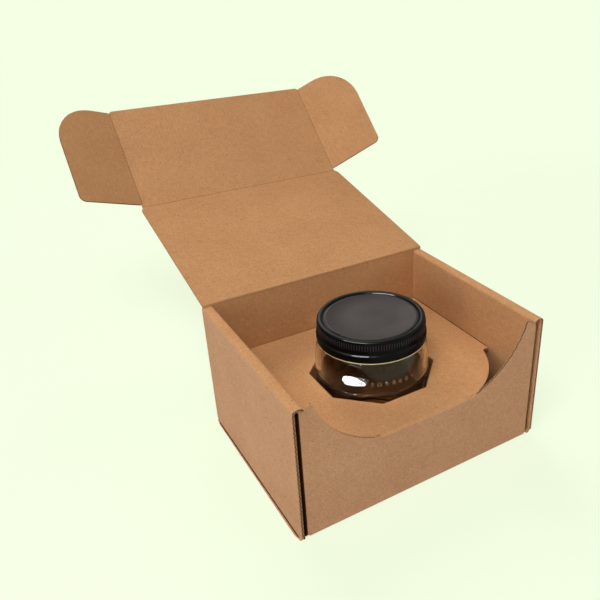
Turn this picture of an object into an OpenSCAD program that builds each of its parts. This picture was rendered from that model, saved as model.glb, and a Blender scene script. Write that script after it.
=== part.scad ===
// Corrugated mailer with a folded display shelf that holds one round glass jar.
// The origin is on the surface it stands on, under the middle of the box.
// The box front faces -Y, its width runs along X and +Z is up.

/* [Box] */
// Thickness of the corrugated board
board = 1.6; // [1.2:0.1:2.2]
// Width over the two outer side panels
box_w = 186; // [170:1:230]
// Depth over the side panels, front edge to back edge
box_d = 141; // [130:1:190]
// Outer radius of the creases along the side panels' feet
foot_crease_r = 2.6; // [2.3:0.1:4]
// Outer radius of every other fixed crease
crease_r = 2.0; // [1.9:0.1:2.6]
// Outer radius of the two creases where a side wall rolls over
roll_r = 2.4; // [2.3:0.1:3]
// Air between the closed lid and the top of the jar
head_gap = 1.0; // [0.6:0.1:6]
// How far the front wall stands behind the side panels' front edges
front_set_back = 0.9; // [0.4:0.1:2]
// Cut across each side panel's foot at its front end
toe_cut = 1.2; // [0.5:0.1:3]

/* [Display front] */
// Width of each full-height shoulder, from the side of the box
shoulder_w = 13.5; // [12:0.1:24]
// Length of the crease between the front wall and the shelf
shelf_crease_w = 71; // [50:1:90]
// Radius of the curved cut from shoulder to crease
display_r = 64; // [56:0.5:110]
// Radius of the shoulder's inner corner
shoulder_corner_r = 1.5; // [1:0.5:5]
// Width over which the shoulder's top falls to pass under the rolled edge
shoulder_fall_w = 3.5; // [2:0.5:5]
// Height of the shelf's upper face
shelf_h = 54.2; // [40:0.2:62]
// Width of the leg folded down behind the shelf
shelf_leg_w = 140; // [100:1:150]
// Air between the jar and each flat of the eight-sided hole
hole_gap = 1.8; // [0.8:0.1:4]
// How far the hole's middle lies in front of the box's middle
hole_forward = 2.5; // [0:0.5:8]

/* [Hidden panels] */
// Length of each corner flap inside the side walls
corner_flap_l = 56; // [40:1:60]
// Length of each locking tab under the side walls
tab_l = 22; // [14:1:30]
// Distance of each locking tab's middle from the box's middle
tab_place = 36; // [30:1:45]

/* [Lid] */
// Length of the front tuck flap
tuck_l = 95.8; // [80:0.2:95.8]
// Width of each ear beyond its fold
ear_w = 52.5; // [40:0.5:60]
// Radius of each ear's far corner
ear_corner_r = 36; // [20:1:38]
// Radius of each ear's near corner
ear_near_r = 5; // [2:0.5:8]
// Radius of the tuck flap's far corners
tuck_corner_r = 3; // [1:0.5:6]
// How far the lid is opened from shut
lid_open = 168; // [100:1:186]
// How far the tuck flap is bent up from the lid
tuck_bend = 31.7; // [2:0.1:86]
// How far the left ear is bent up from the tuck flap
left_ear_bend = 25; // [2:1:86]
// How far the right ear is bent up from the tuck flap
right_ear_bend = 42; // [2:1:86]

/* [Jar] */
// Outer diameter of the jar's body
jar_d = 79; // [76:0.5:86]
// Height of the jar with its lid on
jar_h = 94.4; // [90:0.2:110]
// Thickness of the jar's side
glass_t = 3; // [2:0.1:4]
// Thickness of the jar's rounded mouth
mouth_t = 3.6; // [2.6:0.1:4.4]
// Thickness of the jar's base at its middle
base_t = 5; // [4:0.1:7]
// Radius of the jar's heel
heel_r = 6; // [4:0.5:9]
// Height of the curved shoulder under the neck
jar_shoulder_h = 7; // [5:0.5:12]

/* [Jar lid] */
// Diameter of the lid's plain skirt
cap_d = 73.6; // [70:0.2:74]
// Height of the lid
cap_h = 15.7; // [14:0.1:20]
// Thickness of the lid's metal
metal_t = 0.5; // [0.4:0.1:0.7]
// How far the raised rim stands above the middle panel
rim_rise = 0.8; // [0.4:0.1:1.2]
// Width of the raised rim, with its rounded edge
rim_w = 3.4; // [2.6:0.1:4]
// Radius of the rim's rounded edge
rim_round_r = 1.4; // [0.8:0.1:1.6]
// How far the lower bead stands out of the skirt
bead_out = 1.0; // [0.5:0.1:1.3]
// Height of the lower bead and the curl under it
bead_h = 5.2; // [4:0.1:6]
// Radius of the curled bottom edge
curl_r = 0.8; // [0.6:0.1:1]
// Thickness of the sealing ring between the lid and the glass
liner_t = 0.7; // [0.5:0.1:1]
// Width of the sealing ring
liner_w = 5.2; // [4.4:0.1:6]

/* [Clearances] */
// Air between a folding panel and its neighbour at their crease
fold_gap = 0.15; // [0.1:0.05:0.3]
// Air between panels that slide past each other
slide_gap = 0.3; // [0.2:0.05:0.4]
// Air on each side of an ear in its slot
ear_gap = 0.4; // [0.3:0.05:0.6]
// Air between the folded layers of a side wall and around the shelf
layer_gap = 0.4; // [0.2:0.1:0.8]
// Air between the jar's neck and its lid, where the thread engages
thread_gap = 1.4; // [1:0.1:1.8]
// Air between the sealing ring and the glass
seal_gap = 0.1; // [0.05:0.05:0.2]

/* [Hidden] */
$fn = 96;
kraft = [0.74, 0.55, 0.38];
over = 1;

// Side wall layers, from the outside in
side_x = box_w / 2;
slot_out_x = side_x - board;
slot_in_x = slot_out_x - board - 2 * ear_gap;
flap_in_x = slot_in_x - board;
inner_out_x = flap_in_x - layer_gap;
inner_x = inner_out_x - board;

// Heights of the lid's underside, the hinge and the rolled edges
lid_under_z = board + jar_h + head_gap;
hinge_z = lid_under_z + board / 2;
roll_top_z = lid_under_z - slide_gap;
roll_bend_z = roll_top_z - roll_r;
shoulder_z = roll_bend_z - slide_gap;
shoulder_top_z = roll_top_z - slide_gap;

// Depths of the walls and of the lid's two folds
front_y = -box_d / 2;
rear_y = box_d / 2;
front_wall_y = front_y + front_set_back;
hinge_y = rear_y - board / 2;
tuck_y = front_y - slide_gap - board / 2;
lid_l = hinge_y - tuck_y;

// A moving crease: one panel ends in a round edge and the other in a hollow one
hollow_r = sqrt(2) * board / 2 + fold_gap;
lid_half_w = side_x - layer_gap;
ear_fold_x = slot_in_x + ear_gap + board / 2;
tuck_half_w = ear_fold_x;
ear_near_v = hinge_z - (roll_top_z - board) + slide_gap;
ear_far_v = tuck_l - 2 * slide_gap - foot_crease_r + board;
ear_taper = 1.6;

// The display cut, in sheet lengths measured from the shelf crease
shelf_crease_z = shelf_h - board / 2;
sheet_y = front_wall_y + board / 2;
shoulder_s = shoulder_z - shelf_crease_z;
shoulder_top_s = shoulder_top_z - shelf_crease_z;
display_top_x = side_x - shoulder_w;
display_low_x = shelf_crease_w / 2;
chord = [display_top_x - display_low_x, shoulder_s];
chord_half = norm(chord) / 2;
chord_rise = sqrt(pow(display_r, 2) - pow(chord_half, 2)) / (2 * chord_half);
display_centre = [
    (display_top_x + display_low_x) / 2 - chord[1] * chord_rise,
    shoulder_s / 2 + chord[0] * chord_rise
];
shelf_x = inner_x - layer_gap;
leg_y = rear_y - board - layer_gap;

// Jar and jar lid
jar_y = -hole_forward;
jar_r = jar_d / 2;
cap_r = cap_d / 2;
cap_top_z = board + jar_h;
cap_low_z = cap_top_z - cap_h;
neck_r = cap_r - metal_t - thread_gap;
glass_top_z = cap_top_z - rim_rise - metal_t - liner_t - seal_gap;
neck_low_z = cap_low_z - 2 * seal_gap;

function arc(centre, r, from, to, steps = 10) = [
    for (i = [0:steps])
        let (a = from + (to - from) * i / steps)
        centre + r * [cos(a), sin(a)]
];
function ellipse_arc(centre, rx, ry, from, to, steps = 10) = [
    for (i = [0:steps])
        let (a = from + (to - from) * i / steps)
        centre + [rx * cos(a), ry * sin(a)]
];
function turned_over(points) = [for (i = [len(points) - 1:-1:0]) points[i]];

// Quarter of a bent sheet round the origin, in the first quadrant
module quarter_bend(outer_r) {
    difference() {
        intersection() {
            circle(outer_r);
            square(outer_r);
        }
        circle(outer_r - board);
    }
}

// A shape drawn in X and Z, given its depth along Y
module along_depth(from, to) {
    translate([0, to, 0]) rotate([90, 0, 0]) linear_extrude(to - from) children();
}

// A shape drawn in Y and Z, given its width along X
module along_width(from, to) {
    translate([from, 0, 0]) rotate([90, 0, 90]) linear_extrude(to - from) children();
}

// A shape drawn in X and Y, given its height along Z
module upwards(from, to) {
    translate([0, 0, from]) linear_extrude(to - from) children();
}

module both_sides() {
    children();
    mirror([1, 0, 0]) children();
}

// The part of the sheet that leaves the front wall and becomes the shelf:
// a middle strip with a curved flank on each side, up to a given length
module display_cut(top_s) {
    corner_s = top_s - shoulder_corner_r;
    corner_x = display_centre[0] + sqrt(
        pow(display_r + shoulder_corner_r, 2) - pow(display_centre[1] - corner_s, 2)
    );
    to_cut = [corner_x, corner_s] - display_centre;
    touch = display_centre + to_cut * display_r / norm(to_cut);
    both_sides() {
        intersection() {
            translate(display_centre) circle(display_r, $fn = 240);
            translate([0, -crease_r]) square([side_x, top_s + crease_r]);
        }
        translate([0, -crease_r]) square([display_low_x - crease_r, top_s + crease_r]);
        difference() {
            polygon([
                touch, [corner_x, corner_s], [corner_x, top_s], [display_centre[0], top_s]
            ]);
            translate([corner_x, corner_s]) circle(shoulder_corner_r);
        }
    }
}

module floor_panel() {
    foot_x = side_x - foot_crease_r;
    slot_l = tab_l + 2 * layer_gap;
    upwards(0, board) difference() {
        translate([-foot_x, front_wall_y + crease_r])
            square([2 * foot_x, rear_y - front_wall_y - 2 * crease_r]);
        both_sides() for (y = [-tab_place, tab_place])
            translate([inner_x - layer_gap, y - slot_l / 2])
                square([board + 2 * layer_gap, slot_l]);
    }
    both_sides() along_depth(front_y + toe_cut, rear_y)
        translate([foot_x, foot_crease_r]) mirror([0, 1]) quarter_bend(foot_crease_r);
}

module front_wall() {
    flat_x = slot_in_x - crease_r;
    along_depth(front_wall_y, front_wall_y + board) difference() {
        both_sides() polygon([
            [0, crease_r], [flat_x, crease_r], [flat_x, shoulder_z], [shelf_x, shoulder_z],
            [shelf_x - shoulder_fall_w, shoulder_top_z], [0, shoulder_top_z]
        ]);
        translate([0, shelf_crease_z]) intersection() {
            display_cut(shoulder_top_s);
            translate([-side_x, board / 2 - crease_r]) square([2 * side_x, shoulder_top_z]);
        }
    }
    along_width(-flat_x, flat_x)
        translate([front_wall_y + crease_r, crease_r]) rotate(180) quarter_bend(crease_r);
    both_sides() {
        upwards(crease_r, shoulder_z)
            translate([flat_x, front_wall_y + crease_r]) mirror([0, 1]) quarter_bend(crease_r);
        along_width(flap_in_x, slot_in_x)
            translate([front_wall_y + crease_r, 0]) corner_flap();
    }
}

module rear_wall() {
    flat_x = slot_in_x - crease_r;
    along_depth(rear_y - board, rear_y) {
        translate([-flat_x, crease_r]) square([2 * flat_x, hinge_z - crease_r]);
        translate([-slot_in_x, shoulder_z + slide_gap])
            square([2 * slot_in_x, hinge_z - shoulder_z - slide_gap]);
    }
    along_width(-slot_in_x, slot_in_x) translate([hinge_y, hinge_z]) circle(board / 2);
    along_width(-flat_x, flat_x)
        translate([rear_y - crease_r, crease_r]) mirror([0, 1]) quarter_bend(crease_r);
    both_sides() {
        upwards(crease_r, shoulder_z)
            translate([flat_x, rear_y - crease_r]) quarter_bend(crease_r);
        along_width(flap_in_x, slot_in_x)
            translate([rear_y - crease_r, 0]) mirror([1, 0]) corner_flap();
    }
}

// Flap folded back from a front or rear corner, drawn along +X from its fold
module corner_flap() {
    slant = 10;
    low = board + slide_gap;
    polygon([
        [0, low], [corner_flap_l - slant / 2, low], [corner_flap_l, low + slant],
        [corner_flap_l, shoulder_z - slant], [corner_flap_l - slant / 2, shoulder_z],
        [0, shoulder_z]
    ]);
}

// Side wall: outer panel, roll over the top, inner panel with its locking tabs
module side_wall() {
    along_width(slot_out_x, side_x) polygon([
        [front_y, foot_crease_r + toe_cut], [front_y + toe_cut, foot_crease_r],
        [rear_y, foot_crease_r], [rear_y, roll_bend_z], [front_y, roll_bend_z]
    ]);
    roll_end_y = rear_y - board - slide_gap;
    along_depth(front_y, rear_y)
        translate([side_x - roll_r, roll_bend_z]) quarter_bend(roll_r);
    along_depth(front_y, roll_end_y) {
        translate([inner_x + roll_r, roll_bend_z]) mirror([1, 0]) quarter_bend(roll_r);
        translate([inner_x + roll_r, roll_top_z - board])
            square([side_x - inner_x - 2 * roll_r, board]);
    }
    along_width(inner_x, inner_out_x) {
        translate([front_wall_y + board + slide_gap, board])
            square([roll_end_y - front_wall_y - board - slide_gap, roll_bend_z - board]);
        for (y = [-tab_place, tab_place])
            translate([y - tab_l / 2, slide_gap]) square([tab_l, board]);
    }
}

// Shelf folded in from the front wall, with the jar's eight-sided hole and a rear leg
module shelf() {
    shelf_z = shelf_h - board;
    shelf_end_y = leg_y - crease_r;
    hole_r = (jar_r + hole_gap) / cos(180 / 8);
    along_width(-display_low_x, display_low_x)
        translate([front_wall_y + crease_r, shelf_h - crease_r])
        mirror([1, 0]) quarter_bend(crease_r);
    upwards(shelf_z, shelf_h) difference() {
        union() {
            intersection() {
                translate([0, sheet_y]) display_cut(shoulder_s);
                translate([-side_x, front_wall_y + crease_r]) square([box_w, box_d]);
            }
            translate([-shelf_x, sheet_y + shoulder_s])
                square([2 * shelf_x, shelf_end_y - sheet_y - shoulder_s]);
        }
        translate([0, jar_y]) rotate(180 / 8) circle(hole_r, $fn = 8);
    }
    along_width(-shelf_leg_w / 2, shelf_leg_w / 2)
        translate([shelf_end_y, shelf_h - crease_r]) quarter_bend(crease_r);
    along_depth(leg_y - board, leg_y)
        translate([-shelf_leg_w / 2, board + slide_gap])
        square([shelf_leg_w, shelf_h - crease_r - board - slide_gap]);
}

module tray() {
    color(kraft) union() {
        floor_panel();
        front_wall();
        rear_wall();
        both_sides() side_wall();
        shelf();
    }
}

// Places a shut lid's parts, drawn flat behind the hinge towards -Y, as it stands open
module on_lid() {
    translate([0, hinge_y, hinge_z]) rotate([-lid_open, 0, 0]) children();
}

// The same for the tuck flap, drawn flat from its own fold towards -Y
module on_tuck() {
    on_lid() translate([0, -lid_l, 0]) rotate([tuck_bend, 0, 0]) children();
}

// A flat panel centred on its sheet's middle plane
module flat_sheet() {
    translate([0, 0, -board / 2]) linear_extrude(board) children();
}

// Hollow end of a folding panel, along X at a crease through the origin
module hollow_end(half_w) {
    along_width(-half_w - over, half_w + over) circle(hollow_r);
}

module lid_panel() {
    flange = 4;
    color(kraft) on_lid() {
        difference() {
            flat_sheet() translate([-lid_half_w, -lid_l])
                polygon([
                    [layer_gap + board, 0], [2 * lid_half_w - layer_gap - board, 0],
                    [2 * lid_half_w, flange], [2 * lid_half_w, lid_l],
                    [0, lid_l], [0, flange]
                ]);
            hollow_end(lid_half_w);
        }
        translate([0, -lid_l, 0])
            along_width(board + layer_gap - lid_half_w, lid_half_w - board - layer_gap)
            circle(board / 2);
    }
}

module tuck_flap() {
    color(kraft) on_tuck() difference() {
        union() {
            flat_sheet() both_sides() polygon(concat(
                [[0, 0], [0, -tuck_l]],
                arc([tuck_half_w - tuck_corner_r, tuck_corner_r - tuck_l], tuck_corner_r, -90, 0),
                [[tuck_half_w, 0]]
            ));
            for (side = [-1, 1]) translate([side * tuck_half_w, tuck_corner_r - tuck_l, 0])
                rotate([-90, 0, 0]) cylinder(r = board / 2, h = tuck_l - tuck_corner_r);
        }
        hollow_end(tuck_half_w + board);
    }
}

// Ear drawn flat to the right of its fold, which runs along Y through the origin
module ear() {
    near = -ear_near_v;
    far = -ear_far_v;
    difference() {
        flat_sheet() polygon(concat(
            [[0, near]],
            arc([ear_w - ear_near_r, near - ear_taper - ear_near_r], ear_near_r, 80, 0),
            arc([ear_w - ear_corner_r, far + ear_corner_r], ear_corner_r, 0, -90, 16),
            [[0, far]]
        ));
        translate([0, -tuck_l - over, 0]) rotate([-90, 0, 0])
            cylinder(r = hollow_r, h = tuck_l + 2 * over);
    }
}

module right_ear() {
    color(kraft) on_tuck()
        translate([ear_fold_x, 0, 0]) rotate([0, right_ear_bend, 0]) ear();
}

module left_ear() {
    color(kraft) on_tuck()
        translate([-ear_fold_x, 0, 0]) rotate([0, -left_ear_bend, 0]) mirror([1, 0, 0]) ear();
}

// Blown jar: heel, straight side, rounded shoulder, neck with its ring and rounded mouth
module jar_glass() {
    foot_z = board;
    foot_w = 2;
    push_up = 1.6;
    push_up_r = jar_r - heel_r - foot_w;
    inner_r = jar_r - glass_t;
    mouth_r = neck_r - mouth_t;
    shoulder_low_z = neck_low_z - jar_shoulder_h;
    inner_low_z = foot_z + base_t;
    lip_r = mouth_t / 2;
    outside = concat(
        [[0, foot_z + push_up], [push_up_r - push_up, foot_z + push_up], [push_up_r, foot_z]],
        arc([jar_r - heel_r, foot_z + heel_r], heel_r, -90, 0, 8),
        ellipse_arc([neck_r, shoulder_low_z], jar_r - neck_r, jar_shoulder_h, 0, 90, 12),
        arc([neck_r - lip_r, glass_top_z - lip_r], lip_r, 0, 180, 10)
    );
    inside = concat(
        ellipse_arc([mouth_r, shoulder_low_z], inner_r - mouth_r, jar_shoulder_h, 90, 0, 12),
        arc([inner_r - heel_r, inner_low_z + heel_r], heel_r, 0, -90, 8),
        [[0, inner_low_z]]
    );
    color([0.75, 0.68, 0.58, 0.4]) translate([0, jar_y, 0]) rotate_extrude()
        polygon(concat(outside, inside));
}

// One-piece metal lid: panel, raised rim, skirt, lower bead and curled edge
module jar_lid() {
    panel_z = cap_top_z - rim_rise;
    rim_in_r = cap_r - rim_w;
    bead_r = cap_r + bead_out;
    bead_z = cap_low_z + bead_h;
    bead_round = bead_h / 2 - curl_r;
    curl_turn = 250;
    // The sheet's path from the middle out and down, at a depth inside its outer face
    function path(inset) = concat(
        [[0, panel_z - inset], [rim_in_r - rim_rise, panel_z - inset],
         [rim_in_r, cap_top_z - inset]],
        arc([cap_r - rim_round_r, cap_top_z - rim_round_r], rim_round_r - inset, 90, 0, 8),
        [[cap_r - inset, bead_z]],
        ellipse_arc([cap_r - inset, bead_z - bead_round], bead_out, bead_round, 90, 0, 8),
        arc([bead_r - curl_r, cap_low_z + curl_r], curl_r - inset, 0, -curl_turn, 12)
    );
    color([0.16, 0.15, 0.15]) translate([0, jar_y, 0]) rotate_extrude()
        polygon(concat(path(0), turned_over(path(metal_t))));
}

// Soft ring moulded into the channel under the lid's rim
module lid_liner() {
    low_z = glass_top_z + seal_gap;
    panel_low_z = cap_top_z - rim_rise - metal_t;
    rim_low_z = cap_top_z - metal_t;
    out_r = cap_r - metal_t - rim_round_r / 2;
    channel_in_r = cap_r - rim_w + metal_t / 2;
    color([0.62, 0.58, 0.5]) translate([0, jar_y, 0]) rotate_extrude() polygon([
        [out_r - liner_w, low_z], [out_r, low_z],
        [out_r, panel_low_z + seal_gap], [out_r - rim_round_r, rim_low_z - seal_gap],
        [channel_in_r, rim_low_z - seal_gap], [channel_in_r - rim_rise, panel_low_z - seal_gap],
        [out_r - liner_w, panel_low_z - seal_gap]
    ]);
}

tray();
lid_panel();
tuck_flap();
left_ear();
right_ear();
jar_glass();
jar_lid();
lid_liner();
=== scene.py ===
import math

import bmesh
import bpy
from mathutils import Matrix, Vector


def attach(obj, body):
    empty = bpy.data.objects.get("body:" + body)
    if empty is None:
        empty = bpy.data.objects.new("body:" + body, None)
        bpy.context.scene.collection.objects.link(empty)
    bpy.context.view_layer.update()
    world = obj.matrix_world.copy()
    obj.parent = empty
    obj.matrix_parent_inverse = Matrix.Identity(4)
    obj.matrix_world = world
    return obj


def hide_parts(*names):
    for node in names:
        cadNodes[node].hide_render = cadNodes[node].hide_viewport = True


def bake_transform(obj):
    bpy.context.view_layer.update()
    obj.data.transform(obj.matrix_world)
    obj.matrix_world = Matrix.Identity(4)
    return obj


mm = 0.001
tiny = 1e-6
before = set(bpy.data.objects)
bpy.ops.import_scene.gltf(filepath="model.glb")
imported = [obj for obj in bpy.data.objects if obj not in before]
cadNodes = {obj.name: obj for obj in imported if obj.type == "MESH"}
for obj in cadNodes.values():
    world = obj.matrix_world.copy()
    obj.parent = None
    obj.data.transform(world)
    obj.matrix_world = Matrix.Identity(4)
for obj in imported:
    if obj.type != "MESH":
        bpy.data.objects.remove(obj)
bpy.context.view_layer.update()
bpy.context.scene.view_settings.view_transform = "Standard"
print("Frame loaded with", len(cadNodes), "nodes")

# Where the folded board stands, in mm, as in the part's source
box = {
    "board": 1.6,
    "sideX": 93.0,
    "frontY": -70.5,
    "rearY": 70.5,
    "frontWallY": -69.6,
    "footR": 2.6,
    "rollR": 2.4,
    "rollBendZ": 94.3,
    "rollFlatX": 87.8,
    "toeCut": 1.2,
    "shelfX": 85.0,
    "shoulderZ": 94.0,
    "shoulderTopZ": 96.4,
    "shoulderFall": 3.5,
    "shoulderCornerR": 1.5,
    "shelfCreaseZ": 53.4,
    "creaseHalf": 35.5,
    "displayTopX": 79.5,
    "displayR": 64.0,
    "jarY": -2.5,
    "holeFlat": 41.3,
    "hinge": (0.0, 69.7, 97.8),
    "lidLength": 141.3,
    "lidHalf": 92.6,
    "lidNarrow": 2.0,
    "lidFlange": 4.0,
    "lidOpen": 168.0,
    "tuckBend": 31.7,
    "tuckLength": 95.8,
    "tuckHalf": 90.2,
    "tuckCornerR": 3.0,
    "earWidth": 52.5,
    "earCornerR": 36.0,
    "earNearR": 5.0,
    "earNear": 3.0,
    "earFar": 94.2,
    "earTaper": 1.6,
    "leftBend": 25.0,
    "rightBend": 42.0,
}


# Small helpers
def feed(tree, node, inputs):
    for key, value in inputs.items():
        if isinstance(value, bpy.types.NodeSocket):
            tree.links.new(value, node.inputs[key])
        else:
            node.inputs[key].default_value = value


def addNode(tree, kind, inputs=None, **settings):
    made = tree.nodes.new(kind)
    for key, value in settings.items():
        setattr(made, key, value)
    feed(tree, made, inputs or {})
    return made


def put(tree, kind, inputs=None, **settings):
    return addNode(tree, kind, inputs, **settings).outputs[0]


def calc(tree, operation, *values):
    return put(tree, "ShaderNodeMath", dict(enumerate(values)), operation=operation)


def vectorCalc(tree, operation, inputs):
    return put(tree, "ShaderNodeVectorMath", inputs, operation=operation)


def axesOf(tree, vector):
    return addNode(tree, "ShaderNodeSeparateXYZ", {"Vector": vector}).outputs


def fromAxes(tree, **axes):
    return put(tree, "ShaderNodeCombineXYZ", axes)


def newMaterial(name):
    material = bpy.data.materials.new(name)
    material.use_nodes = True
    tree = material.node_tree
    shader = tree.nodes["Principled BSDF"]
    coords = tree.nodes.new("ShaderNodeTexCoord").outputs["Object"]
    return material, tree, shader, coords


def noise(tree, coords, scale, detail=3.0, roughness=0.5, distortion=0.0):
    sizes = {"Vector": coords, "Scale": scale, "Detail": detail}
    sizes.update({"Roughness": roughness, "Distortion": distortion})
    return put(tree, "ShaderNodeTexNoise", sizes)


def ramp(tree, factor, stops):
    made = addNode(tree, "ShaderNodeValToRGB", {"Fac": factor})
    band = made.color_ramp
    while len(band.elements) < len(stops):
        band.elements.new(1.0)
    for element, (place, colour) in zip(band.elements, stops):
        element.position = place
        element.color = (*colour, 1.0)
    return made.outputs[0]


def bumped(tree, shader, height, strength, distance):
    sizes = {"Strength": strength, "Distance": distance, "Height": height}
    bump = addNode(tree, "ShaderNodeBump", sizes)
    tree.links.new(bump.outputs[0], shader.inputs["Normal"])
    return bump


def softStep(tree, value, low, high):
    sizes = {"Value": value, 1: low, 2: high}
    return put(tree, "ShaderNodeMapRange", sizes, interpolation_type="SMOOTHSTEP")


def linkObject(name, mesh, materials=()):
    made = bpy.data.objects.new(name, mesh)
    bpy.context.scene.collection.objects.link(made)
    for material in materials:
        mesh.materials.append(material)
    return made


def closedPiece(name, work, materials, sharpAngle=None):
    bmesh.ops.recalc_face_normals(work, faces=work.faces)
    mesh = bpy.data.meshes.new(name)
    work.to_mesh(mesh)
    work.free()
    if sharpAngle:
        mesh.set_sharp_from_angle(angle=math.radians(sharpAngle))
    return linkObject(name, mesh, materials)


def prism(work, sections):
    # Each section is a closed loop of points in mm
    rows = [[work.verts.new(Vector(point) * mm) for point in section] for section in sections]
    for low, high in zip(rows, rows[1:]):
        for i in range(len(low)):
            j = (i + 1) % len(low)
            work.faces.new((low[i], low[j], high[j], high[i]))
    for row in (rows[0], rows[-1]):
        work.faces.new(row)


def ellipsePoints(centre, rx, ry, start, stop, steps):
    turns = [math.radians(start + (stop - start) * i / steps) for i in range(steps + 1)]
    return [(centre[0] + rx * math.cos(t), centre[1] + ry * math.sin(t)) for t in turns]


def arcPoints(centre, radius, start, stop, steps):
    return ellipsePoints(centre, radius, radius, start, stop, steps)


# Camera
cameraSet = {
    "target": (0.03, -7.99, 117.09),
    "azimuth": -31.978,
    "elevation": 27.095,
    "roll": -0.841,
    "distance": 441.59,
    "lens": 40.351,
    "sensor": 36.0,
    "shift": (-0.125, -0.01667),
    "clip": (0.01, 20.0),
}


def aimCamera(sizes):
    turn, rise, roll = (math.radians(sizes[k]) for k in ("azimuth", "elevation", "roll"))
    level = Vector((math.sin(turn), -math.cos(turn), 0.0)) * math.cos(rise)
    back = level + Vector((0.0, 0.0, math.sin(rise)))
    side = Vector((math.cos(turn), math.sin(turn), 0.0))
    up = back.cross(side)
    right = side * math.cos(roll) + up * math.sin(roll)
    top = up * math.cos(roll) - side * math.sin(roll)
    lens = bpy.data.cameras.new("photoCamera")
    lens.lens = sizes["lens"]
    lens.sensor_width = sizes["sensor"]
    lens.shift_x, lens.shift_y = sizes["shift"]
    lens.clip_start, lens.clip_end = sizes["clip"]
    camera = linkObject("photoCamera", lens)
    place = (Vector(sizes["target"]) + back * sizes["distance"]) * mm
    facing = Matrix((right, top, back)).transposed().to_4x4()
    camera.matrix_world = Matrix.Translation(place) @ facing
    bpy.context.scene.camera = camera


aimCamera(cameraSet)
print("Camera placed")

# Kraft board
kraft = {
    "shade": (0.35, 0.163, 0.064),
    "body": (0.49, 0.245, 0.104),
    "pale": (0.625, 0.35, 0.167),
    "darkFibre": (0.2, 0.085, 0.034),
    "speck": (0.1, 0.04, 0.017),
    "paleFibre": (0.7, 0.45, 0.26),
    "outerTint": (0.98, 1.06, 1.31),
    # Painted light: the tray is painted lighter and the flaps darker, for the light each gets
    "sheetLightTint": {
        "tray": (1.06, 1.05, 1.03),
        "flap": (0.985, 0.975, 0.96),
        "crease": (0.985, 0.975, 0.96),
    },
    # Painted shade along the folds
    "foldShadeTint": (0.66, 0.6, 0.54),
    "slotShadeTint": (0.11, 0.065, 0.045),
    "slotX": (88.3, 89.5, 91.45),
    "slotTop": 93.0,
    "toneStops": (0.25, 0.5, 0.78),
    # Scale, detail, roughness and weight of each layer of tone
    "clouds": (30.0, 3.0, 0.5, 0.2),
    "mottle": (260.0, 4.0, 0.6, 0.26),
    "grain": (1700.0, 2.0, 0.6, 0.55),
    # Long fibres lie two ways, dark ones mostly along the board and pale ones across it
    "fibres": (
        ((420.0, 2600.0, 2600.0), "darkFibre", 0.67, 0.75),
        ((2600.0, 420.0, 900.0), "darkFibre", 0.68, 0.76),
        ((2300.0, 600.0, 2300.0), "paleFibre", 0.68, 0.77),
        ((700.0, 2300.0, 800.0), "paleFibre", 0.7, 0.78),
        ((900.0, 1300.0, 1100.0), "speck", 0.73, 0.755),
        ((1200.0, 800.0, 1500.0), "paleFibre", 0.735, 0.765),
    ),
    "fibreCover": 0.75,
    "flutePitch": 3.3,
    "fluteRelief": 0.22,
    "mottleRelief": 0.5,
    "grainRelief": 0.6,
    "bump": (0.55, 0.12 * mm),
    "roughness": 0.86,
    "gloss": 0.06,
}


def outerFaces(tree, place, facing, sheet):
    # 1 on the liner that faces out of the shut box
    if sheet != "tray":
        return calc(tree, "LESS_THAN", facing["Z"], -0.1)
    skin = 0.3
    wide = calc(tree, "ABSOLUTE", place["X"])
    wide = calc(tree, "GREATER_THAN", wide, (box["sideX"] - skin) * mm)
    front = calc(tree, "LESS_THAN", place["Y"], (box["frontWallY"] + skin) * mm)
    rear = calc(tree, "GREATER_THAN", place["Y"], (box["rearY"] - skin) * mm)
    under = calc(tree, "LESS_THAN", place["Z"], skin * mm)
    walls = calc(tree, "MAXIMUM", wide, front)
    return calc(tree, "MAXIMUM", walls, calc(tree, "MAXIMUM", rear, under))


def tinted(tree, colour, factor, tint, mode="MULTIPLY"):
    inputs = {"Factor": factor, 6: colour, 7: (*tint, 1.0)}
    return addNode(tree, "ShaderNodeMix", inputs, data_type="RGBA", blend_type=mode).outputs[2]


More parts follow.
